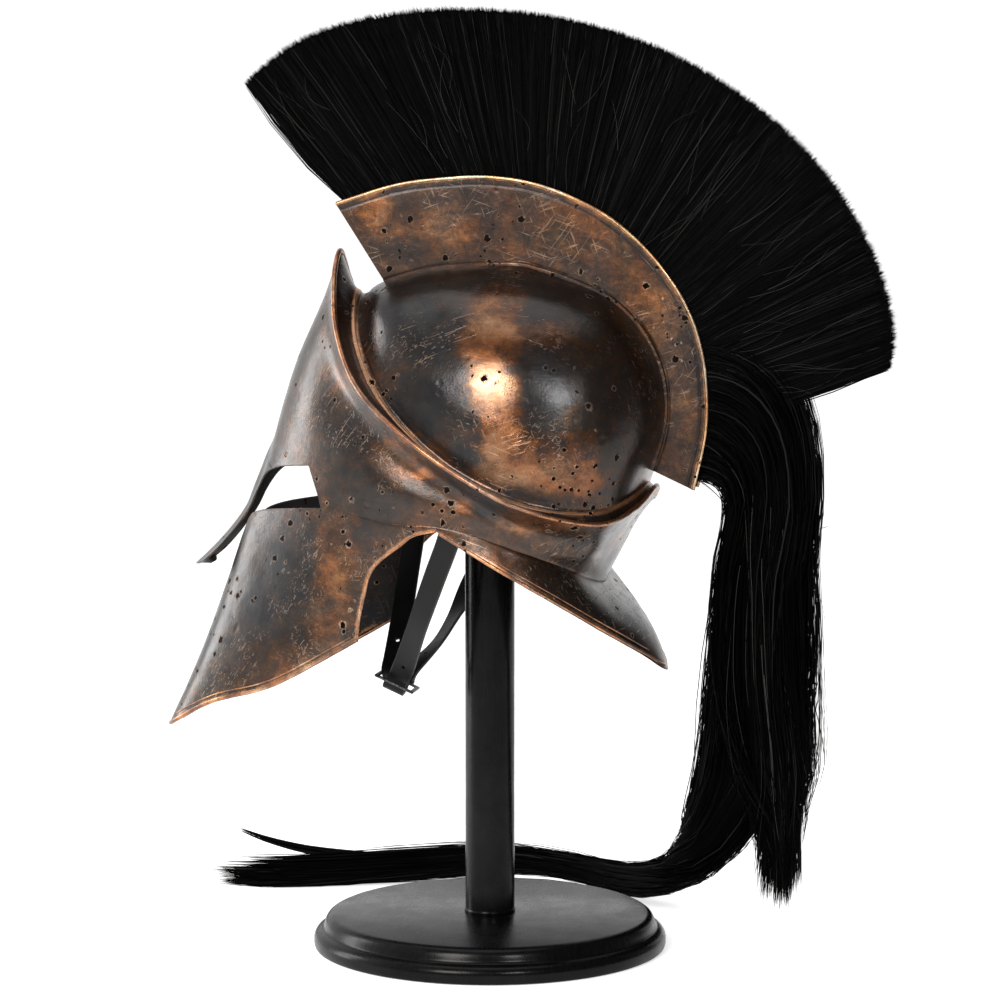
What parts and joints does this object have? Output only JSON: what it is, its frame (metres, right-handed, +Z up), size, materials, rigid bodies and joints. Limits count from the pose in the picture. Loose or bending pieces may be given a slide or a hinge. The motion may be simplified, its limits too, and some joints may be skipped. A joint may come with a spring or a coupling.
{
  "type": "greek bronze helmet on a display stand",
  "caption": "Closed bronze helmet with nasal, cheek plates, flared neck guard, raised brow flange, brush crest with hair tail and leather chin straps, on a plain turned stand.",
  "frame": {"origin": "middle of the stand's underside, on the surface that it stands on", "axes": "+Z up, the helmet faces -Y, +X is the wearer's left; the metal is symmetric about x = 0"},
  "size_m": [0.387, 0.5716, 0.717],
  "materials": {
    "bronze": "aged bronze and copper, dark brown patina with orange patches, fine scratches and small pits, bright worn rims",
    "hair": "black horsehair with a faint sheen",
    "leather": "black strap leather with a smooth grain and paler cut edges",
    "buckle_steel": "blackened steel",
    "stand_wood": "turned wood in satin black lacquer"
  },
  "bodies": {
    "root": {"stand_base": "stand_wood", "stand_post": "stand_wood", "face_and_neck_guard": "bronze", "skull_bowl": "bronze", "crest_holder": "bronze", "brush_plume": "hair", "tail_plume_hanging": "hair", "tail_plume_trailing": "hair", "chin_strap_right": "leather", "chin_strap_left": "leather", "nape_strap": "leather", "strap_fold": "leather", "buckle": "buckle_steel"}
  },
  "joints": []
}
